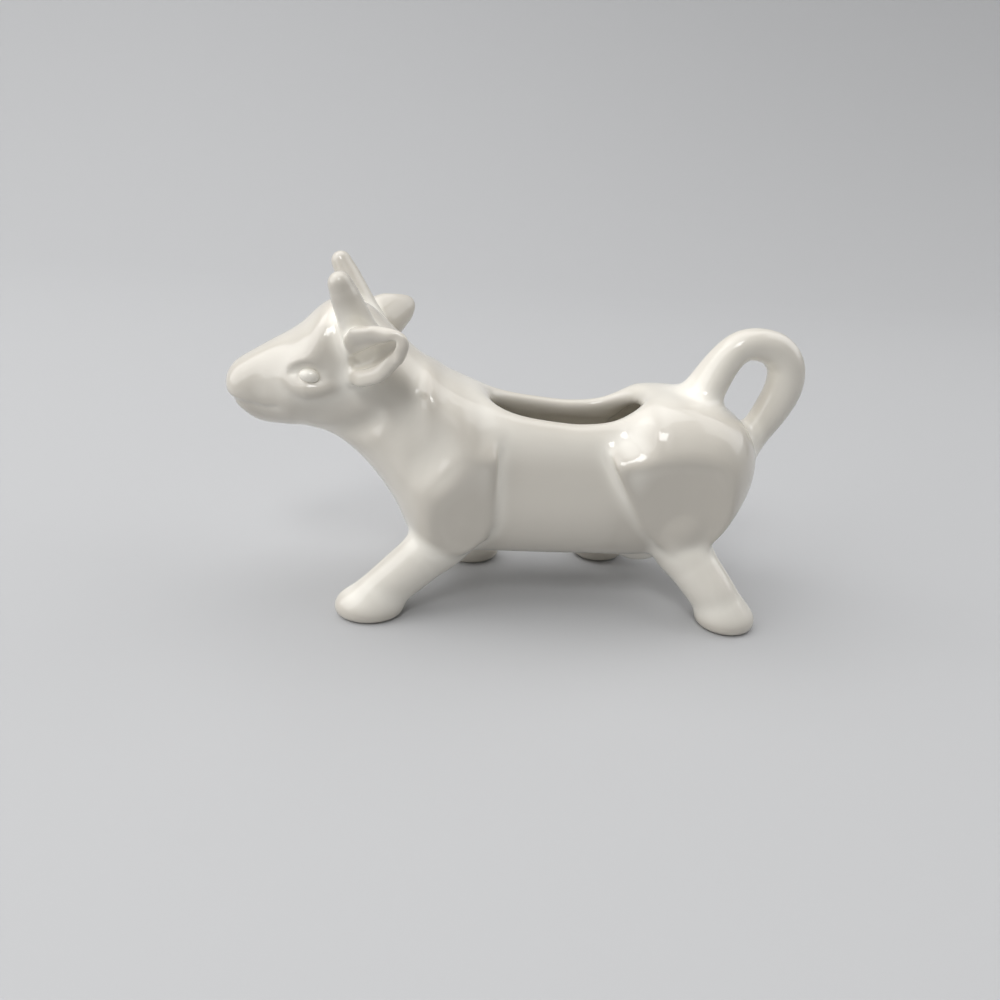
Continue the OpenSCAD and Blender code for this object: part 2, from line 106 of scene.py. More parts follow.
def cast(rows, sides=120, steps=8):
    """The distance to a form that runs through the sections from end to end."""
    s = along(rows, np.linspace(0, len(rows) - 1, steps * (len(rows) - 1) + 1))[:, :, None]
    turn = 2 * np.pi * np.arange(sides) / sides
    power = np.where(np.cos(turn) > 0, s[:, 6], s[:, 7])
    up = np.sign(np.cos(turn)) * np.abs(np.cos(turn)) ** (2 / power)
    out = np.sign(np.sin(turn)) * np.abs(np.sin(turn)) ** (2 / power)
    rings = np.stack([
        (s[:, 0] + s[:, 2]) / 2 + (s[:, 0] - s[:, 2]) / 2 * up,
        s[:, 4] * out * (1 + s[:, 5] * up),
        (s[:, 1] + s[:, 3]) / 2 + (s[:, 1] - s[:, 3]) / 2 * up,
    ], -1)
    corners = np.arange(rings.shape[0] * sides).reshape(-1, sides)
    after = np.roll(corners, -1, 1)
    quads = np.stack([corners[:-1], after[:-1], after[1:], corners[1:]], -1).reshape(-1, 4)
    ends = corners.size + np.arange(2)
    tris = np.concatenate([
        np.stack([np.full(sides, ends[0]), after[0], corners[0]], -1),
        np.stack([np.full(sides, ends[1]), corners[-1], after[-1]], -1),
    ])
    points = np.concatenate([rings.reshape(-1, 3), rings[[0, -1]].mean(1)])
    return level((points - clay_low) / clay_step, tris, quads)


haunch_length, opening_length, shoulder_length = 37.5, 45.0, 21.5
rump_x = 71.09
opening_back_x = rump_x - haunch_length
opening_front_x = opening_back_x - opening_length
belly_z, torso_depth, torso_half = 15.0, 52.0, 24.5

# shares: along the top, up at the top, along the bottom, up at the bottom, wide, flare, and how square
# the section is, where two numbers stand for its upper and its lower half
haunch_shares = [
    [0.000, 0.610, 0.010, 0.530, 0.08, 0.00, 2.0], [0.020, 0.705, 0.060, 0.390, 0.39, 0.00, 2.0],
    [0.080, 0.795, 0.150, 0.255, 0.63, 0.00, 2.1], [0.200, 0.890, 0.265, 0.130, 0.85, 0.02, 2.2],
    [0.373, 0.956, 0.385, 0.050, 0.97, 0.04, 2.2], [0.573, 0.990, 0.573, 0.013, 1.00, 0.04, 2.2],
    [0.787, 1.000, 0.787, 0.002, 1.00, 0.02, 2.3], [1.000, 0.983, 1.000, 0.000, 0.98, 0.00, 2.4],
]
waist_shares = [
    [0.200, 0.908, 0.200, 0.000, 0.96, 0.00, 3.4, 2.3], [0.400, 0.880, 0.400, 0.000, 0.94, 0.00, 4.0, 2.3],
    [0.600, 0.892, 0.600, 0.000, 0.94, 0.00, 4.0, 2.3], [0.800, 0.918, 0.800, 0.000, 0.96, 0.00, 3.6, 2.3],
    [1.000, 0.962, 1.000, 0.000, 0.98, -0.02, 2.8, 2.3],
]
shoulder_shares = [
    [0.280, 1.006, 0.465, 0.006, 0.99, -0.04, 2.3], [0.480, 1.042, 0.790, 0.048, 0.95, -0.05, 2.2],
    [0.650, 1.088, 0.977, 0.163, 0.88, -0.05, 2.1],
]
torso_rows = (
    sections(rump_x, belly_z, haunch_length, torso_depth, torso_half, haunch_shares)
    + sections(opening_back_x, belly_z, opening_length, torso_depth, torso_half, waist_shares)
    + sections(opening_front_x, belly_z, shoulder_length, torso_depth, torso_half, shoulder_shares)
)
chest = torso_rows[-1]

# Neck and head. Two more hollow castings, the neck open at both ends and the head closed at the muzzle.
# They carry the torso's run of sections on, so all three are luted edge to edge.
neck_length, throat_rise, neck_half = 18.0, 24.7, 13.8
head_length, head_depth, head_half = 40.0, 38.9, 15.0
nape_x = chest[0] - neck_length
jaw_z = chest[3] + throat_rise
head_shares = [
    [0.0000, 0.985, 0.2075, 0.020, 0.92, 0.04, 2.1], [0.1375, 1.036, 0.3250, 0.082, 0.97, 0.08, 2.1],
    [0.2750, 1.015, 0.4425, 0.102, 1.00, 0.12, 2.1], [0.3950, 0.912, 0.5500, 0.103, 0.92, 0.10, 2.1],
    [0.5375, 0.802, 0.6575, 0.095, 0.76, 0.06, 2.1], [0.6875, 0.712, 0.7575, 0.105, 0.64, 0.02, 2.1],
    [0.8250, 0.627, 0.8400, 0.136, 0.60, 0.00, 2.1], [0.9250, 0.560, 0.9075, 0.195, 0.53, 0.00, 2.1],
    [0.9775, 0.496, 0.9625, 0.278, 0.37, 0.00, 2.0], [1.0000, 0.427, 0.9975, 0.375, 0.13, 0.00, 2.0],
]
head_rows = sections(nape_x, jaw_z, head_length, head_depth, head_half, head_shares)
crown_rise = head_rows[0][1] - chest[1]

# shares: along the top, up at the top, along the bottom, up at the bottom, narrowed, and flare
neck_shares = [
    [0.194, 0.150, 0.156, 0.260, 0.295, -0.04], [0.383, 0.330, 0.367, 0.500, 0.577, -0.02],
    [0.572, 0.540, 0.589, 0.710, 0.795, 0.00], [0.778, 0.770, 0.822, 0.885, 0.949, 0.02],
]
neck_rows = [
    [chest[0] - s[0] * neck_length, chest[1] + s[1] * crown_rise,
     chest[2] - s[2] * neck_length, chest[3] + s[3] * throat_rise,
     chest[4] + s[4] * (neck_half - chest[4]), s[5], 2.1, 2.1]
    for s in neck_shares
]
collar = neck_rows[2]

# Barrel and flesh. The barrel runs through at its own width, a little narrower at the back than at the
# belly, and the full width, squarer in section, is kept only at haunch and shoulder.
barrel_half_share = 0.79
barrel_flare = [0] * 5 + [-0.02, -0.04, -0.06] + [-0.08] * 5 + [-0.06, -0.05, -0.05]
barrel_rows = [
    row[:4] + [min(row[4], barrel_half_share * torso_half), flare] + row[6:]
    for row, flare in zip(torso_rows, barrel_flare)
]
barrel = cast(barrel_rows + neck_rows + head_rows)
upper_power = 2.7
lower_power = [3.2] * (len(haunch_shares) + len(waist_shares)) + [3.0, 2.6, 2.2]
flesh_rows = [row[:6] + [upper_power, power] for row, power in zip(torso_rows, lower_power)]
flesh = cast(flesh_rows + neck_rows + head_rows)


def window(low, high):
    """The part of the grid between two corners, as slices and coordinates."""
    first = [max(0, int((low[a] - clay_low[a]) / clay_step)) for a in range(3)]
    last = [min(clay_size[a], int((high[a] - clay_low[a]) / clay_step) + 2) for a in range(3)]
    part = tuple(slice(first[a], last[a]) for a in range(3))
    return part, X[part[0]], Y[:, part[1]], Z[:, :, part[2]]


def rope(points, radii, x, y, z, squash=1.0):
    """The distance to a round limb that follows points, with a radius at each, scaled across by squash."""
    nearest = None
    for a, b, ra, rb in zip(points[:-1], points[1:], radii[:-1], radii[1:]):
        run = b - a
        t = np.clip(((x - a[0]) * run[0] + (y - a[1]) * run[1] + (z - a[2]) * run[2]) / (run @ run), 0, 1)
        gap = np.sqrt((x - a[0] - t * run[0]) ** 2 + ((y - a[1] - t * run[1]) * squash) ** 2
                      + (z - a[2] - t * run[2]) ** 2) - (ra + t * (rb - ra))
        nearest = gap if nearest is None else np.minimum(nearest, gap)
    return nearest


# The side of the neck dips in before the shoulder
neck_dip = np.array([(-40.0, 26.2, 66.0), (-35.0, 27.6, 59.5), (-30.0, 29.4, 54.0), (-25.0, 31.6, 49.5)])
neck_dip_radii, neck_dip_blend = (10.0, 11.5, 11.5, 9.0), 6.0
part, x, y, z = window((-52, -34, 36), (-12, 34, 80))
for form in (barrel, flesh):
    form[part] = carve(form[part], rope(neck_dip, neck_dip_radii, x, np.abs(y), z), neck_dip_blend)

# Haunches and shoulders, part of the torso's mould: soft-edged pads seen from the side, each with a
# flat cheek below a ridge. The outlines go round in x and z.
haunch_outline = [
    (22.4, 62), (23.6, 53), (27.5, 45.5), (31.3, 38.5), (36.4, 30.4), (42, 24.5), (48, 21.8),
    (53.6, 21.4), (57.5, 24), (61, 30), (66, 38), (74, 46), (76, 80), (34, 84), (26, 72),
]
shoulder_outline = [
    (-7.8, 62), (-7.4, 46), (-7.2, 31), (-9.0, 25.5), (-13.5, 21.5), (-20, 18.4), (-24, 18.5),
    (-29, 16), (-60, 10), (-60, 84), (-14, 84), (-9, 72),
]
haunch_half, haunch_lean = 23.1, math.radians(8)
shoulder_half, shoulder_lean = 23.0, math.radians(10)
ridge_round, pad_round, pad_fillet = 0.8, 2.0, 1.8


def outline(corners, u, v):
    """The distance to a flat outline, negative inside it."""
    nearest = np.full(np.broadcast(u, v).shape, 1e6)
    inside = np.zeros(nearest.shape, bool)
    for (au, av), (bu, bv) in zip(corners, corners[1:] + corners[:1]):
        t = np.clip(((u - au) * (bu - au) + (v - av) * (bv - av)) / ((bu - au) ** 2 + (bv - av) ** 2), 0, 1)
        nearest = np.minimum(nearest, (u - au - t * (bu - au)) ** 2 + (v - av - t * (bv - av)) ** 2)
        if av != bv:
            inside ^= ((av > v) != (bv > v)) & (u < au + (bu - au) * (v - av) / (bv - av))
    return np.where(inside, -1, 1) * np.sqrt(nearest)


def pad(corners, half, past_ridge, lean):
    """A mass of flesh on each side of the barrel. Its cheek is flat below a ridge and leans in from it."""
    cheek = (np.abs(Y) - half) * math.cos(lean) + past_ridge * math.sin(lean)
    return meet(meet(flesh, cheek, ridge_round), outline(corners, X, Z), pad_round)


haunch_ridge = np.interp(
    X, (20, 26, 31, 38, 46, 54, 60, 66, 74), (47, 50.3, 52.3, 53.4, 53.6, 51.4, 48.4, 45, 40))
shoulder_ridge_way = math.radians(57)
past_shoulder_ridge = (X + 17.0) * math.sin(shoulder_ridge_way) - (Z - 44.0) * math.cos(shoulder_ridge_way)
haunches = pad(haunch_outline, haunch_half, haunch_ridge - Z, haunch_lean)
shoulders = pad(shoulder_outline, shoulder_half, past_shoulder_ridge, shoulder_lean)
body = join(join(barrel, haunches, pad_fillet), shoulders, pad_fillet)

# Towards the back the masses die away, so that the rim of the opening runs smooth
swell = np.interp(
    X, (-18, -14, -9, -4, 0, 22, 27, 32, 36, 40), (1, 0.93, 0.5, 0.07, 0, 0, 0.07, 0.5, 0.93, 1))
smooth_back = barrel + swell * (flesh - barrel)
back_low_z, back_fade = 50, 8
near_back = np.clip((Z - back_low_z) / back_fade, 0, 1)
body = body + near_back * near_back * (3 - 2 * near_back) * (smooth_back - body)
clay = body.copy()


# Face. It is modelled into the soft casting of the head, the same on both sides: a socket and lids
# round each eye, the bump of the crown, a lip that overhangs the jaw, and the fold under the jaw.
def pebble(middle, sizes, x, y, z):
    """The distance to an egg-shaped lump with three half sizes."""
    p = [x - middle[0], y - middle[1], z - middle[2]]
    near = np.sqrt(sum((p[a] / sizes[a]) ** 2 for a in range(3)))
    far = np.sqrt(sum((p[a] / sizes[a] ** 2) ** 2 for a in range(3)))
    return near * (near - 1) / np.maximum(far, 1e-4)


def tapered(points, radii, x, y, z):
    """A roll of clay or a tool's mark through four points, with its radius at each end and halfway."""
    places = np.linspace(0, 3, 13)
    return rope(along(points, places), np.interp(places, (0, 1.5, 3), radii), x, y, z)


eye_middle = np.array((-58.5, 14.3, 70.1))
socket_middle, socket_sizes = eye_middle + (-1.4, 4.0, 0.6), (7.6, 5.0, 4.6)
lid_over = np.array([(-63.2, 11.2, 71.0), (-60.9, 12.8, 73.0), (-57.4, 13.6, 73.2), (-53.8, 13.6, 71.0)])
lid_under = np.array([(-64.6, 10.8, 68.0), (-61.2, 12.9, 66.6), (-57.2, 13.9, 66.2), (-52.8, 13.8, 67.4)])
lid_crease = np.array([(-63.4, 12.6, 70.6), (-61.2, 14.0, 72.1), (-58.2, 14.9, 72.6), (-55.0, 15.0, 71.6)])
crown_middle, crown_sizes = (-52.5, 0, 80.0), (7.0, 8.5, 6.0)
part, x, y, z = window((-88, -24, 44), (-30, 24, 96))
y_out = np.abs(y)

# the last number of each line is how far the joint is smoothed
head = carve(clay[part], pebble(socket_middle, socket_sizes, x, y_out, z), 3.0)
head = join(head, tapered(lid_over, (0.6, 1.4, 0.6), x, y_out, z), 2.4)
head = join(head, tapered(lid_under, (0.6, 1.7, 0.6), x, y_out, z), 3.2)
head = carve(head, tapered(lid_crease, (0.3, 0.9, 0.3), x, y_out, z), 1.8)
head = join(head, pebble(crown_middle, crown_sizes, x, y, z), 3.0)

jaw_drop = np.interp(x, (-88, -80, -68, -62), (0.7, 0.6, 0.4, 0.0))
lip_z = np.interp(x, (-88, -81, -78.6, -75, -71.3, -67.4, -60), (61.6, 60.9, 60.4, 59.8, 59.2, 59.9, 60.4))
lip_end_x, lip_fade, lip_overlap = -65.2, 3.5, 1.5
groove_half, groove_deep, groove_round = 0.2, 0.6, 0.9
upper = meet(head, lip_z - z, 1.6)
jaw = meet(head + jaw_drop, z - lip_z - lip_overlap, 1.0)
lips = join(upper, jaw, 0.8)
lips = carve(lips, np.maximum(np.abs(z - lip_z) - groove_half, -groove_deep - lips), groove_round)
head = head + np.clip((lip_end_x - x) / lip_fade, 0, 1) * (lips - head)

jaw_fold = np.array([(-54.0, 8.6, 50.4), (-49.0, 12.0, 53.4), (-44.5, 14.0, 56.4), (-41.0, 15.4, 59.2)])
clay[part] = carve(head, tapered(jaw_fold, (1.2, 2.0, 1.0), x, y_out, z), 4.5)

# Legs. Each is pressed solid in its own mould, with a hoof that swells over a flat sole, and luted
# under the shoulder or haunch while both are leather hard. The cow walks, so no two are set alike.
leg_heights = (6.0, 10.5, 16.5, 22.5, 30.0)
leg_ways_along = (0.11, 0.33, 0.66, 0.96, 1.08)
leg_ways_across = (0.04, 0.18, 0.54, 0.96, 1.0)
leg_radii, leg_squash = (6.9, 7.1, 7.5, 9.0, 10.0), 1.12
leg_top_half, hoof_half_width, hoof_height = 11.8, 7.9, 6.2
hoof_back, hoof_middle_z = 0.4, 2.4
hoof_blend, sole_round, leg_fillet = 3.4, 1.6, 2.2
shoulder_x = opening_front_x - 0.42 * shoulder_length
hip_x = opening_back_x + 0.44 * haunch_length


def leg(top_x, ahead, side, track, hoof_length):
    """Gives the function that measures the distance to one leg."""
    foot = np.array((top_x - ahead, side * track / 2, 0))
    reach = (ahead, side * leg_top_half - foot[1])
    spots = [
        foot + (reach[0] * way_along, reach[1] * way_across, height)
        for way_along, way_across, height in zip(leg_ways_along, leg_ways_across, leg_heights)
    ]
    places = np.linspace(0, len(spots) - 1, 25)
    spots, radii = along(spots, places), np.interp(places, range(len(leg_radii)), leg_radii)
    toe = foot + np.sign(ahead) * np.array((-hoof_back, 0, 0)) + (0, 0, hoof_middle_z)
    hoof_sizes = (hoof_length / 2, hoof_half_width, hoof_height)

    def distance(x, y, z):
        shank = rope(spots, radii, x, y, z, squash=leg_squash)
        return meet(join(shank, pebble(toe, hoof_sizes, x, y, z), hoof_blend), -z, sole_round)
    return distance


def read(field, points):
    """A grid's values at points between its nodes."""
    place = np.clip((points - clay_low) / clay_step, 0, np.array(clay_size) - 1.001)
    i = place.astype(int)
    t = place - i
    value = 0
    for corner in np.ndindex(2, 2, 2):
        weight = np.prod([t[:, a] if corner[a] else 1 - t[:, a] for a in range(3)], 0)
        value = value + weight * field[i[:, 0] + corner[0], i[:, 1] + corner[1], i[:, 2] + corner[2]]
    return value


def place_of(distance, rival=None, deepest=1.4):
    """Negative where a point of the skin belongs to a limb and not to the body or to a rival limb."""
    def value(p):
        depth = read(body, p)
        near = depth if rival is None else np.minimum(depth, rival(*p.T))
        return np.maximum(distance(*p.T) - near, -depth - deepest)
    return value


left, right = -1, 1
legs = {
    "foreleg_left": leg(shoulder_x, 22.0, left, 37.0, 20.0),
    "foreleg_right": leg(shoulder_x, -8.5, right, 37.0, 20.0),
    "hindleg_left": leg(hip_x, -15.0, left, 44.0, 17.5),
    "hindleg_right": leg(hip_x, 16.0, right, 44.0, 17.5),
}
part, x, y, z = window((-60, -34, -3.9), (80, 34, 40))
for distance in legs.values():
    clay[part] = join(clay[part], distance(x, y, z), leg_fillet)
limbs = {name: place_of(distance) for name, distance in legs.items()}

# Udder. A small swelling of clay, rolled in the palm and pressed on under the belly between the hind
# legs, with its edge smoothed into the belly.
udder_middle, udder_sizes, udder_fillet = (41.1, 0.0, 19.0), (10.0, 8.5, 8.2), 2.0


def udder(x, y, z):
    """The distance to the udder."""
    return pebble(udder_middle, udder_sizes, x, y, z)


part, x, y, z = window((26, -14, 6), (56, 14, 26))
clay[part] = join(clay[part], udder(x, y, z), udder_fillet)
limbs["udder"] = place_of(udder)

# Tail. A rope of clay rolled between the hands, bent over into a loop for the finger and luted at the
# back and again low on the rump. It flares where it leaves the back.
tail_radius, tail_fillet = 5.1, 3.4
tail_end_x, tail_span, tail_rise, haunch_top_z = 83.4, 29.2, 14.4, 67.0
tail_middle_x = tail_end_x - tail_radius

# shares: ahead of the loop's back, up, and how thick in the loop's plane and across it
tail_shares = [
    [0.97, -0.60, 1.30, 2.00], [0.83, 0.02, 1.14, 1.45], [0.70, 0.57, 1.00, 1.08],
    [0.56, 0.92, 0.92, 0.96], [0.38, 1.02, 0.92, 0.94], [0.17, 0.91, 0.98, 0.94],
    [0.03, 0.58, 1.05, 0.94], [0.01, 0.13, 1.10, 0.94], [0.09, -0.36, 1.04, 0.92],
    [0.21, -0.85, 0.92, 0.90], [0.30, -1.28, 0.92, 0.94], [0.40, -1.66, 1.05, 1.05],
    [0.58, -1.95, 1.10, 1.10],
]
tail_rows = [
    [tail_middle_x - s[0] * tail_span, 0, haunch_top_z + s[1] * tail_rise,
     tail_radius * s[2], tail_radius * s[3]]
    for s in tail_shares
]
tail_line = along(tail_rows, np.linspace(0, len(tail_rows) - 1, 73))


def tail(x, y, z):
    """The distance to the tail, which is a little flatter or wider than round."""
    nearest = None
    for a, b in zip(tail_line[:-1], tail_line[1:]):
        gap = rope([a[:3], b[:3]], [a[3], b[3]], x, y, z, squash=(a[3] + b[3]) / (a[4] + b[4]))
        nearest = gap if nearest is None else np.minimum(nearest, gap)
    return nearest


part, x, y, z = window((40, -16, 28), (88, 16, 94))
clay[part] = join(clay[part], tail(x, y, z), tail_fillet)
limbs["tail_handle"] = place_of(tail)

# Horns. Short blunt cones rolled by hand and luted to the crown, leaning forward and apart, the
# cow's right one a little longer and thinner than the left.
horn_line = np.array([
    (-43.4, 10.0, 78.6), (-45.8, 11.4, 83.0), (-47.4, 12.6, 87.3), (-48.8, 13.8, 91.3), (-49.9, 14.6, 94.5)])
horn_radii, horn_fillet = (5.0, 4.7, 4.3, 3.8, 3.15), 1.1
right_horn_reach, right_horn_share = np.array((-3.0, 0, 1.5)), 0.93
right_horn_line = horn_line + right_horn_reach * np.linspace(0, 1, 5)[:, None]
horns = {
    "left": (horn_line * (1, left, 1), horn_radii),
    "right": (right_horn_line, np.array(horn_radii) * right_horn_share),
}
part, x, y, z = window((-64, -24, 66), (-32, 24, 102))
for spots, radii in horns.values():
    clay[part] = join(clay[part], rope(spots, radii, x, y, z), horn_fillet)

# Ears. Each is a leaf of clay pressed over a thumb, which leaves a deep hollow behind a thick rolled
# edge, and luted on under the horn so that it points out and back.
ear_root = np.array((-47.2, 12.4, 74.4))
ear_tip = np.array((-30.8, 27.2, 83.2))
ear_length = np.linalg.norm(ear_tip - ear_root)
ear_axis = (ear_tip - ear_root) / ear_length
ear_front = np.array((-ear_axis[1], ear_axis[0], 0)) / np.hypot(ear_axis[0], ear_axis[1])
ear_axes = (ear_axis, np.cross(ear_axis, ear_front), ear_front)
ear_line = np.array([(-1.0, -0.6, 0), (4.4, -0.8, 0), (9.8, -0.4, 0), (15.2, 0.6, 0.2), (20.2, 1.4, 0.6)])
ear_radii = np.array((4.6, 6.6, 7.0, 5.4, 2.4))
ear_roll = np.array([
    (2.0, 2.4, 0.4), (4.6, 4.0, 1.5), (9.2, 4.9, 2.2), (14.2, 4.3, 2.1), (18.0, 2.4, 1.5), (19.6, 0.0, 1.1),
    (18.6, -2.6, 1.2)])
ear_roll_radii = (1.4, 2.3, 2.7, 2.5, 2.1, 1.6, 1.2)
ear_cup, ear_flatness = 0.05, 2.2
ear_roll_fillet, ear_edge_round, ear_fillet = 1.6, 1.4, 1.8
ear_deep_shift, ear_deep_share = (0.4, 0.2, 0.8), 0.36
ear_mouth_shift, ear_mouth_share, ear_mouth_flatness = (0.8, -1.6, 4.7), 0.46, 1.5


def ear(x, y, z, hollowed=True):
    """The distance to an ear, whose edges curl forward."""
    p = [x - ear_root[0], y - ear_root[1], z - ear_root[2]]
    length, up, out = (sum(p[b] * axis[b] for b in range(3)) for axis in ear_axes)
    out = out - ear_cup * up ** 2
    places = np.linspace(0, 4, 17)
    radii = np.interp(places, range(5), ear_radii)
    leaf_line = along(ear_line * (1, 1, ear_flatness), places)
    leaf = rope(leaf_line, radii, length, up, out * ear_flatness) / 1.7
    leaf = join(leaf, rope(ear_roll, ear_roll_radii, length, up, out), ear_roll_fillet)
    if not hollowed:
        return leaf
    inner = np.linspace(0.5, 3.5, 13)
    inner_radii = np.interp(inner, range(5), ear_radii)
    deep = rope(along(ear_line + ear_deep_shift, inner), inner_radii * ear_deep_share, length, up, out)
    mouth_line = along((ear_line + ear_mouth_shift) * (1, 1, ear_mouth_flatness), inner)
    mouth_radii = inner_radii * ear_mouth_share
    ear_mouth = rope(mouth_line, mouth_radii, length, up, out * ear_mouth_flatness) / 1.2
    return carve(leaf, join(deep, ear_mouth, 2.0), ear_edge_round)


part, x, y, z = window((-60, -34, 60), (-22, 34, 94))
clay[part] = join(clay[part], ear(x, np.abs(y), z), ear_fillet)
for side, side_name in ((left, "left"), (right, "right")):
    def horn_here(x, y, z, horn=horns[side_name]):
        return rope(*horn, x, y, z)

    def ear_here(x, y, z, side=side, apart=4):
        return np.maximum(ear(x, y * side, z, hollowed=False), apart - y * side)

    limbs["horn_" + side_name] = place_of(horn_here, ear_here)
    limbs["ear_" + side_name] = place_of(ear_here, horn_here)

# Opening, hollow and mouth. Slip settles on the plaster to an even wall. The lid of clay over the back
# is cut out and its edge sponged to a round rim, and the mouth is cut through under the lip.
wall, thinnest_share = 3.0, 0.85
opening_middle, opening_half, opening_power = 13.2, (21.8, 9.3), 3.4
opening_floor_z = 44
rim_swell, rim_reach, rim_round = 3.8, 10.0, 4.8
rim_low_z, rim_fade = 48, 6
across_x, across_y = np.abs(X - opening_middle) / opening_half[0], np.abs(Y) / opening_half[1]
across = (across_x ** opening_power + across_y ** opening_power) ** (1 / opening_power) + 1e-4
steepness = np.hypot(
    (across_x / across) ** (opening_power - 1) / opening_half[0],
    (across_y / across) ** (opening_power - 1) / opening_half[1])
from_edge = ((across - 1) / (steepness + 0.01)).astype(np.float32)
inside = meet(smooth_back + wall, body + thinnest_share * wall, 3.0)
near_rim = np.clip(1 - np.abs(from_edge) / rim_reach, 0, 1)
hollow = inside + rim_swell * near_rim * np.clip((Z - rim_low_z) / rim_fade, 0, 1)
clay = meet(clay, -hollow, 2.4)
clay = carve(clay, np.maximum(from_edge, opening_floor_z - Z), rim_round)

mouth = (nape_x - 0.93 * head_length, jaw_z + 0.235 * head_depth)
mouth_slope, mouth_half_width, mouth_half_height = math.radians(8), 4.5, 3.0
mouth_deep, mouth_round = 6.5, 1.2
part, x, y, z = window((-88, -10, 48), (-68, 10, 70))
forward = -(x - mouth[0]) * math.cos(mouth_slope) - (z - mouth[1]) * math.sin(mouth_slope)
rise = -(x - mouth[0]) * math.sin(mouth_slope) + (z - mouth[1]) * math.cos(mouth_slope)
sideways = np.maximum(np.abs(y) - (mouth_half_width - mouth_half_height), 0)
slot = np.sqrt(sideways ** 2 + rise ** 2) - mouth_half_height
clay[part] = carve(clay[part], np.maximum(slot, -mouth_deep - forward), mouth_round)
clay = clay.astype(np.float32)


# Sponged skin. A damp sponge takes the last crispness off the whole jug before the first firing. The
# skin is drawn once over the luted form, with how it bends at each point, for the glaze colour to follow:
# lighter on the edges, and darker in the hollows, partly as pooled glaze and partly as painted shade.
def sponge(field, passes):
    """Softens a grid of distances a little at each pass."""
    for _ in range(passes):
        for axis in range(3):
            before = np.roll(field, 1, axis)
            after = np.roll(field, -1, axis)
            field = field * 0.5 + (before + after) * 0.25
    return field


clay = sponge(clay, 1)
band = 4 * clay_step
skin = openvdb.FloatGrid(band)
skin.copyFromArray(np.clip(clay, -band, band))
points, quads = skin.convertToQuads(0.0)
points = points.astype(float) * clay_step + clay_low
quads = quads.astype(np.int64)

normals = np.stack([read(slope, points) for slope in np.gradient(clay)], -1)
normals /= np.maximum(np.linalg.norm(normals, axis=1), 1e-6)[:, None]
soft = sponge(clay, 5)
bend = sum(np.roll(soft, 1, axis) + np.roll(soft, -1, axis) - 2 * soft for axis in range(3)) / clay_step ** 2
bend = read(bend, points)
first, second, third = (points[quads[:, k]] for k in range(3))
facing = np.einsum("ij,ij->i", np.cross(second - first, third - first), normals[quads[:, 0]])
if np.median(facing) < 0:
    quads = quads[:, ::-1]
verts = np.concatenate([points, normals, bend[:, None]], 1)


# Parting. The skin is parted where each limb was luted on, and across the wall at both ends of the
# neck. Each part is closed behind the joint, so every piece is a sound solid by itself.
def parting(verts, quads, tris, flat, value):
    """Parts a closed skin where value changes sign. Gives the new verts and the faces of both sides."""
    below = value < 0
    state = below[quads].sum(1)
    crossed = quads[(state > 0) & (state < 4)]
    all_tris = np.concatenate([tris, crossed[:, [0, 1, 2]], crossed[:, [0, 2, 3]]])
    all_flat = np.concatenate([flat, np.zeros(2 * len(crossed), bool)])
    count = below[all_tris].sum(1)
    cut = (count > 0) & (count < 3)
    lone_below = count[cut] == 1
    lone = (below[all_tris[cut]] == lone_below[:, None]).argmax(1)
    rows = np.arange(len(lone))
    a, b, c = (all_tris[cut][rows, (lone + k) % 3] for k in range(3))
    pairs = np.sort(np.stack([np.concatenate([a, a]), np.concatenate([b, c])], 1), 1)
    edges, index = np.unique(pairs, axis=0, return_inverse=True)
    index = index.reshape(-1)
    t = (value[edges[:, 0]] / (value[edges[:, 0]] - value[edges[:, 1]]))[:, None]
    new = len(verts) + index
    verts = np.concatenate([verts, verts[edges[:, 0]] * (1 - t) + verts[edges[:, 1]] * t])
    ab, ac = new[:len(lone)], new[len(lone):]
    tips = np.stack([a, ab, ac], 1)
    rests = np.concatenate([np.stack([ab, b, c], 1), np.stack([ab, c, ac], 1)])
    tip_flat = all_flat[cut]
    rest_below = np.concatenate([lone_below, lone_below])
    rest_flat = np.concatenate([tip_flat, tip_flat])
    sides = []
    for inner in (True, False):
        whole = count == (3 if inner else 0)
        sides.append((
            quads[state == (4 if inner else 0)],
            np.concatenate([all_tris[whole], tips[lone_below == inner], rests[rest_below != inner]]),
            np.concatenate([all_flat[whole], tip_flat[lone_below == inner], rest_flat[rest_below != inner]]),
        ))
    return verts, sides[0], sides[1]


def open_loops(quads, tris):
    """The loops of edges that only one face uses, each in the order that closes the skin."""
    ways = np.concatenate(
        [quads[:, [k, (k + 1) % 4]] for k in range(4)] + [tris[:, [k, (k + 1) % 3]] for k in range(3)])
    span = ways.max() + 1
    there, back = ways[:, 0] * span + ways[:, 1], ways[:, 1] * span + ways[:, 0]
    lone = ways[~np.isin(there, back)]
    following = dict(zip(lone[:, 1].tolist(), lone[:, 0].tolist()))
    loops = []
    while following:
        start = next(iter(following))
        loop, here = [start], following.pop(start)
        while here != start:
            loop.append(here)
            here = following.pop(here)
        loops.append(loop)
    return loops


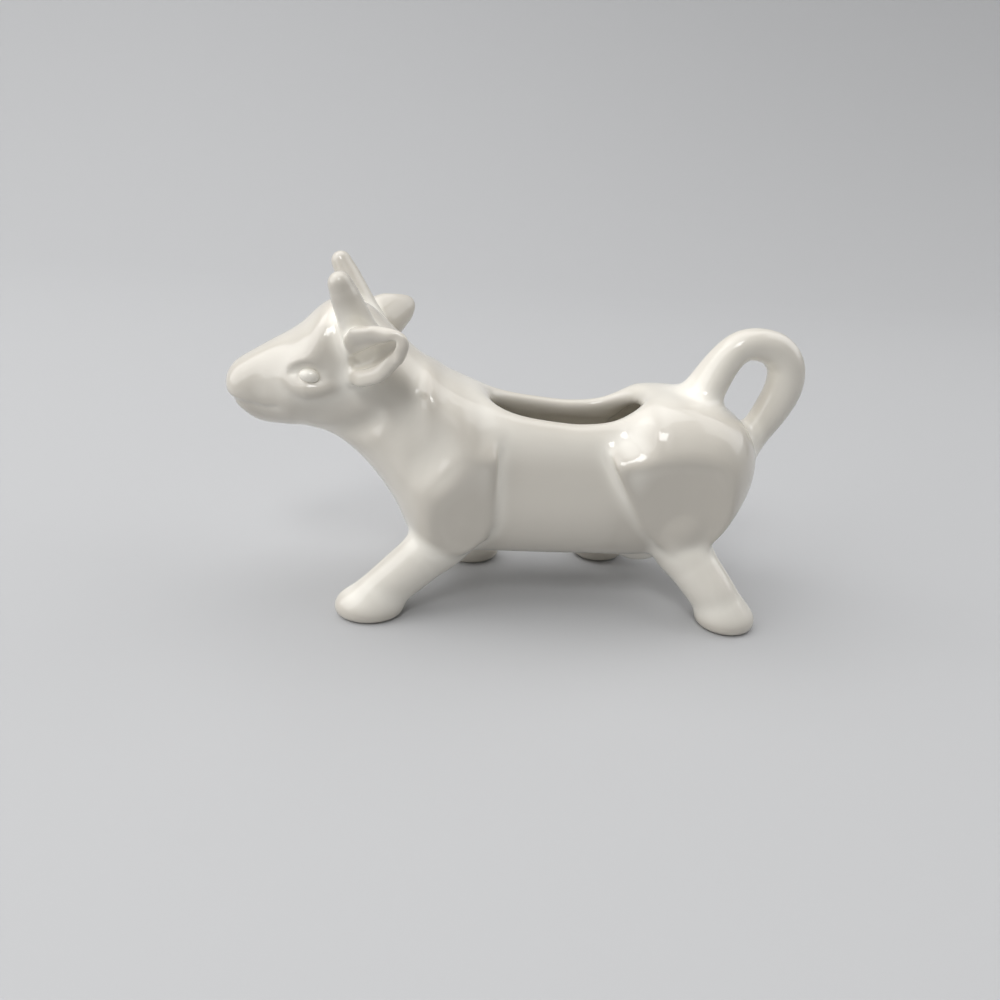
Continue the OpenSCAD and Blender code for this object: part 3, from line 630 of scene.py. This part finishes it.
def ring_cap(verts, outer, inner):
    """Triangles between the outer and the inner edge of a cut wall."""
    middle = verts[outer, :3].mean(0)
    normal = np.cross(verts[outer, :3] - middle, np.roll(verts[outer, :3], -1, 0) - middle).sum(0)
    normal /= np.linalg.norm(normal)
    first = np.cross(normal, (0.0, 1.0, 0.0))
    second = np.cross(normal, first)
    runs = []
    for loop in (outer, inner[::-1]):
        p = verts[loop, :3] - middle
        turn = np.unwrap(np.arctan2(p @ second, p @ first))
        start = np.argmin(turn % (2 * np.pi))
        loop = np.roll(loop, -start)
        turn = np.roll(turn, -start) % (2 * np.pi)
        runs.append((np.append(loop, loop[0]), np.append(np.maximum.accumulate(turn), 2 * np.pi + turn[0])))
    (a, turn_a), (b, turn_b) = runs
    faces, i, j = [], 0, 0
    while i < len(a) - 1 or j < len(b) - 1:
        if j == len(b) - 1 or (i < len(a) - 1 and turn_a[i + 1] <= turn_b[j + 1]):
            faces.append((a[i], a[i + 1], b[j]))
            i += 1
        else:
            faces.append((a[i], b[j + 1], b[j]))
            j += 1
    return verts, np.array(faces)


body_slopes = np.gradient(body)


def sunk_cap(verts, loop):
    """Triangles that close a loop a little under the body's surface, in rings about its middle."""
    middle = verts[loop].mean(0)
    rings = [np.array(loop)]
    for share, depth in ((0.2, 0.7), (0.45, 1.1), (0.75, 1.3), (1.0, 1.3)):
        ring = verts[loop] * (1 - share) + middle * share
        if share == 1:
            ring = ring[:1]
        for _ in range(3):
            slope = np.stack([read(grade, ring[:, :3]) for grade in body_slopes], -1) / clay_step
            slope /= np.maximum(np.linalg.norm(slope, axis=1), 1e-3)[:, None]
            ring[:, :3] -= slope * (read(body, ring[:, :3]) + depth)[:, None]
        rings.append(len(verts) + np.arange(len(ring)))
        verts = np.concatenate([verts, ring])
    faces = []
    for near, far in zip(rings[:-1], rings[1:]):
        after, far_after = np.roll(near, -1), np.roll(far, -1)
        if len(far) == 1:
            faces.append(np.stack([near, after, np.full(len(near), far[0])], -1))
        else:
            faces += [np.stack([near, after, far_after], -1), np.stack([near, far_after, far], -1)]
    return verts, np.concatenate(faces)


def part_off(whole, value, across_hollow=False):
    """Parts one closed skin in two closed skins. The first lies where value is negative."""
    verts, inner, outer = parting(*whole, value)
    loops = open_loops(inner[0], inner[1])
    if across_hollow:
        loops.sort(key=lambda loop: -np.ptp(verts[loop, 2]))
        verts, caps = ring_cap(verts, np.array(loops[0]), np.array(loops[1]))
    else:
        caps = []
        for loop in loops:
            verts, faces = sunk_cap(verts, loop)
            caps.append(faces)
        caps = np.concatenate(caps)
    flags = np.ones(len(caps), bool)
    return (
        (verts, inner[0], np.concatenate([inner[1], caps]), np.concatenate([inner[2], flags])),
        (verts, outer[0], np.concatenate([outer[1], caps[:, ::-1]]), np.concatenate([outer[2], flags])),
    )


def side_of(row, points):
    """Signed distance to a section's plane, negative towards the head."""
    run = np.array((row[0] - row[2], row[1] - row[3]))
    normal = np.array((run[1], -run[0])) / np.linalg.norm(run)
    return (points[:, 0] - row[2]) * normal[0] + (points[:, 2] - row[3]) * normal[1]


whole = (verts, quads, np.zeros((0, 3), np.int64), np.zeros(0, bool))
pieces = {}
for name, value in limbs.items():
    pieces[name], whole = part_off(whole, value(whole[0][:, :3]))
front, pieces["torso_shell"] = part_off(whole, side_of(chest, whole[0]), across_hollow=True)
pieces["head_shell"], pieces["neck_shell"] = part_off(front, side_of(collar, front[0]), across_hollow=True)

# Glaze. One clear gloss glaze over off-white porcelain, poured on and fired at white heat. It lies thin
# on the edges and is wiped off the soles before the firing. The hollows are painted darker, partly as glaze
# that pools there and partly as painted shade.
glaze_roughness, biscuit_roughness = 0.42, 0.8
glaze_coat, biscuit_coat = 0.8, 0.0
porcelain_dark, porcelain_light = (0.825, 0.792, 0.715, 1), (0.885, 0.85, 0.77, 1)
# the hollows' colour stands partly for pooled glaze and partly for painted shade
pooled_glaze_and_shade_color, edge_color, biscuit_color = (0.62, 0.58, 0.51, 1), (0.91, 0.87, 0.78, 1), (0.74, 0.69, 0.60, 1)
glaze = bpy.data.materials.new("white_glaze")
glaze.use_nodes = True
tree = glaze.node_tree
shader = tree.nodes["Principled BSDF"]
shader.inputs["Roughness"].default_value = glaze_roughness
shader.inputs["IOR"].default_value = 1.5
shader.inputs["Coat Weight"].default_value = glaze_coat
shader.inputs["Coat Roughness"].default_value = 0.06
shader.inputs["Coat IOR"].default_value = 1.5


def node(tree, kind, inputs=(), **settings):
    """A shader node with its settings, and its inputs as values or as sockets to link."""
    made = tree.nodes.new(kind)
    for key, value in settings.items():
        setattr(made, key, value)
    for key, value in dict(inputs).items():
        if isinstance(value, bpy.types.NodeSocket):
            tree.links.new(value, made.inputs[key])
        else:
            made.inputs[key].default_value = value
    return made


def spread(tree, value, low, high, to_low=0.0, to_high=1.0):
    """A value spread from one range over another, and held at its ends."""
    ranges = {"Value": value, "From Min": low, "From Max": high, "To Min": to_low, "To Max": to_high}
    return node(tree, "ShaderNodeMapRange", ranges).outputs["Result"]


def over(tree, mask, under, color):
    """One colour laid over another where the mask is white."""
    inputs = {"Factor": mask, "A": under, "B": color}
    return node(tree, "ShaderNodeMix", inputs, data_type="RGBA").outputs["Result"]


place = node(tree, "ShaderNodeTexCoord").outputs["Object"]
bent = node(tree, "ShaderNodeAttribute", attribute_name="bend").outputs["Fac"]
height = node(tree, "ShaderNodeSeparateXYZ", {"Vector": place}).outputs["Z"]
cloud = node(tree, "ShaderNodeTexNoise", {"Vector": place, "Scale": 55.0, "Detail": 2.0}).outputs["Fac"]
wave_inputs = {"Vector": place, "Scale": 48.0, "Detail": 1.0, "Roughness": 0.4}
wave = node(tree, "ShaderNodeTexNoise", wave_inputs).outputs["Fac"]
sole = spread(tree, height, 0.0006, 0.0002)
color = over(tree, cloud, porcelain_dark, porcelain_light)
# painted shade: the hollows darker, partly pooled glaze and partly painted shade
color = over(tree, spread(tree, bent, 0.05, 0.34), color, pooled_glaze_and_shade_color)
color = over(tree, spread(tree, bent, -0.25, -0.7), color, edge_color)
color = over(tree, sole, color, biscuit_color)
bump = node(tree, "ShaderNodeBump", {"Height": wave, "Strength": 0.22, "Distance": 0.0010}).outputs["Normal"]
tree.links.new(color, shader.inputs["Base Color"])
tree.links.new(spread(tree, sole, 0.0, 1.0, glaze_roughness, biscuit_roughness), shader.inputs["Roughness"])
tree.links.new(spread(tree, sole, 0.0, 1.0, glaze_coat, biscuit_coat), shader.inputs["Coat Weight"])
tree.links.new(bump, shader.inputs["Normal"])
tree.links.new(bump, shader.inputs["Coat Normal"])

# Glazed pieces. The legs, udder, tail, horns, ears and the three castings, each a mesh of its own that
# stands for the solid of the same name. They are smooth but for the flat faces behind the joints.
mm = 0.001


def add_piece(node_name, mesh):
    """Glazes a piece and puts it in the place of the solid of that name."""
    mesh.materials.append(glaze)
    piece = bpy.data.objects.new(node_name + "_glazed", mesh)
    bpy.context.scene.collection.objects.link(piece)
    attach(piece, "root")
    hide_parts(node_name)


for name, (verts, quads, tris, flat) in pieces.items():
    used, index = np.unique(np.concatenate([quads.ravel(), tris.ravel()]), return_inverse=True)
    index = index.reshape(-1)
    quads, tris = index[:quads.size].reshape(-1, 4), index[quads.size:].reshape(-1, 3)
    verts = verts[used]
    mesh = bpy.data.meshes.new(name)
    mesh.from_pydata((verts[:, :3] * mm).tolist(), [], quads.tolist() + tris.tolist())
    mesh.shade_smooth()
    normals = verts[:, 3:6] / np.linalg.norm(verts[:, 3:6], axis=1)[:, None]
    corner_normals = normals[np.concatenate([quads.ravel(), tris.ravel()])]
    for k in np.flatnonzero(flat):
        a, b, c = verts[tris[k], :3]
        face = np.cross(b - a, c - a)
        corner = quads.size + 3 * k
        corner_normals[corner:corner + 3] = face / max(np.linalg.norm(face), 1e-9)
    mesh.normals_split_custom_set(corner_normals.tolist())
    mesh.attributes.new("bend", "FLOAT", "POINT").data.foreach_set("value", verts[:, 6].astype(np.float32))
    add_piece(name, mesh)

# Eyes. Small beads of clay rolled between the fingers and pressed into the sockets, under the same
# glaze as the rest. Each looks out, up and a little ahead.
eye_sizes, eye_sunk = (2.9, 2.0, 2.1), 1.0
for name, side in (("eye_left", left), ("eye_right", right)):
    outward = Vector((-0.28, side * 0.94, 0.2)).normalized()
    ahead = outward.cross((0, 0, 1)).normalized()
    spin = Matrix((ahead, ahead.cross(outward), outward)).transposed().to_4x4()
    middle = Vector((eye_middle[0], side * (eye_middle[1] - eye_sunk), eye_middle[2]))
    mesh = bpy.data.meshes.new(name)
    bm = bmesh.new()
    bmesh.ops.create_icosphere(bm, subdivisions=4, radius=1)
    bm.transform(Matrix.Scale(mm, 4) @ Matrix.Translation(middle) @ spin @ Matrix.Diagonal((*eye_sizes, 1)))
    bm.to_mesh(mesh)
    bm.free()
    mesh.shade_smooth()
    add_piece(name, mesh)

# Floor. A sheet of pale paper under the jug that sweeps up behind it, in metres. It is staging, not
# part of the jug.
floor_color, floor_roughness, floor_half_width = (0.47, 0.473, 0.48, 1), 0.9, 3
sweep = [(-0.9 + 1.45 * k / 10, 0) for k in range(11)]
sweep += [(0.55 + 0.45 * math.sin(t), 0.45 - 0.45 * math.cos(t)) for t in np.linspace(0.1, math.pi / 2, 16)]
sweep += [(1.0, 2.0)]
floor_mesh = bpy.data.meshes.new("floor")
floor_mesh.from_pydata(
    [(side * floor_half_width, y, z) for y, z in sweep for side in (-1, 1)], [],
    [(2 * k, 2 * k + 1, 2 * k + 3, 2 * k + 2) for k in range(len(sweep) - 1)])
floor_mesh.shade_smooth()
floor = bpy.data.objects.new("floor", floor_mesh)
bpy.context.scene.collection.objects.link(floor)
pale = bpy.data.materials.new("pale_floor")
pale.use_nodes = True
pale.node_tree.nodes["Principled BSDF"].inputs["Base Color"].default_value = floor_color
pale.node_tree.nodes["Principled BSDF"].inputs["Roughness"].default_value = floor_roughness
floor_mesh.materials.append(pale)

# Light. Three large soft boxes, a small window in front, and a pale room, which lights the jug less
# than it shows in the glaze and beyond the floor. Each box has its place, its size and its watts.
room_color, room_light, room_seen = (0.86, 0.87, 0.88, 1), 0.09, 0.6
world = bpy.data.worlds.new("studio")
bpy.context.scene.world = world
world.use_nodes = True
room = world.node_tree
room.nodes["Background"].inputs["Color"].default_value = room_color
ray = room.nodes.new("ShaderNodeLightPath").outputs
seen = ray["Is Camera Ray"]
for other in ("Is Glossy Ray", "Is Transmission Ray"):
    seen = node(room, "ShaderNodeMath", {0: seen, 1: ray[other]}, operation="MAXIMUM").outputs[0]
strength = spread(room, seen, 0.0, 1.0, room_light, room_seen)
room.links.new(strength, room.nodes["Background"].inputs["Strength"])

boxes = {
    "overhead": ((-0.25, 0.28, 1.35), 1.5, 12.2),
    "left_side": ((-1.3, -0.2, 0.95), 1.8, 20.0),
    "right_side": ((1.2, 0.25, 1.0), 1.4, 9.0),
    "window": ((-0.14, -0.52, 0.74), 0.24, 1.9),
}
lit_spot = Vector((0, 0, 0.05))
for name, (spot, size, power) in boxes.items():
    lamp = bpy.data.lights.new(name, "AREA")
    lamp.shape = "SQUARE"
    lamp.size = size
    lamp.energy = power
    light = bpy.data.objects.new(name, lamp)
    light.location = spot
    light.rotation_euler = (lit_spot - Vector(spot)).to_track_quat("-Z", "Y").to_euler()
    bpy.context.scene.collection.objects.link(light)

# Camera. It stands off the cow's left side and a little above the jug, tilted down and rolled a little,
# as one held in the hand. The place is in metres and the angles are in radians.
camera_place = Vector((-0.02626, -0.21096, 0.12693))
yaw, pitch, roll = -0.10477, 0.43088, 0.07546
look = Vector((-math.sin(yaw) * math.cos(pitch), math.cos(yaw) * math.cos(pitch), -math.sin(pitch)))
level_right = Vector((math.cos(yaw), math.sin(yaw), 0))
level_up = level_right.cross(look)
camera_right = level_right * math.cos(roll) + level_up * math.sin(roll)
camera_up = level_up * math.cos(roll) - level_right * math.sin(roll)
camera_data = bpy.data.cameras.new("camera")
camera_data.lens = 27.114
camera_data.sensor_width = 36
camera = bpy.data.objects.new("camera", camera_data)
camera.matrix_world = Matrix.Translation(camera_place) @ Matrix(
    (camera_right, camera_up, -look)).transposed().to_4x4()
bpy.context.scene.collection.objects.link(camera)
bpy.context.scene.camera = camera
bpy.context.scene.view_settings.view_transform = "Standard"

# Bring the scene up to date
bpy.context.view_layer.update()
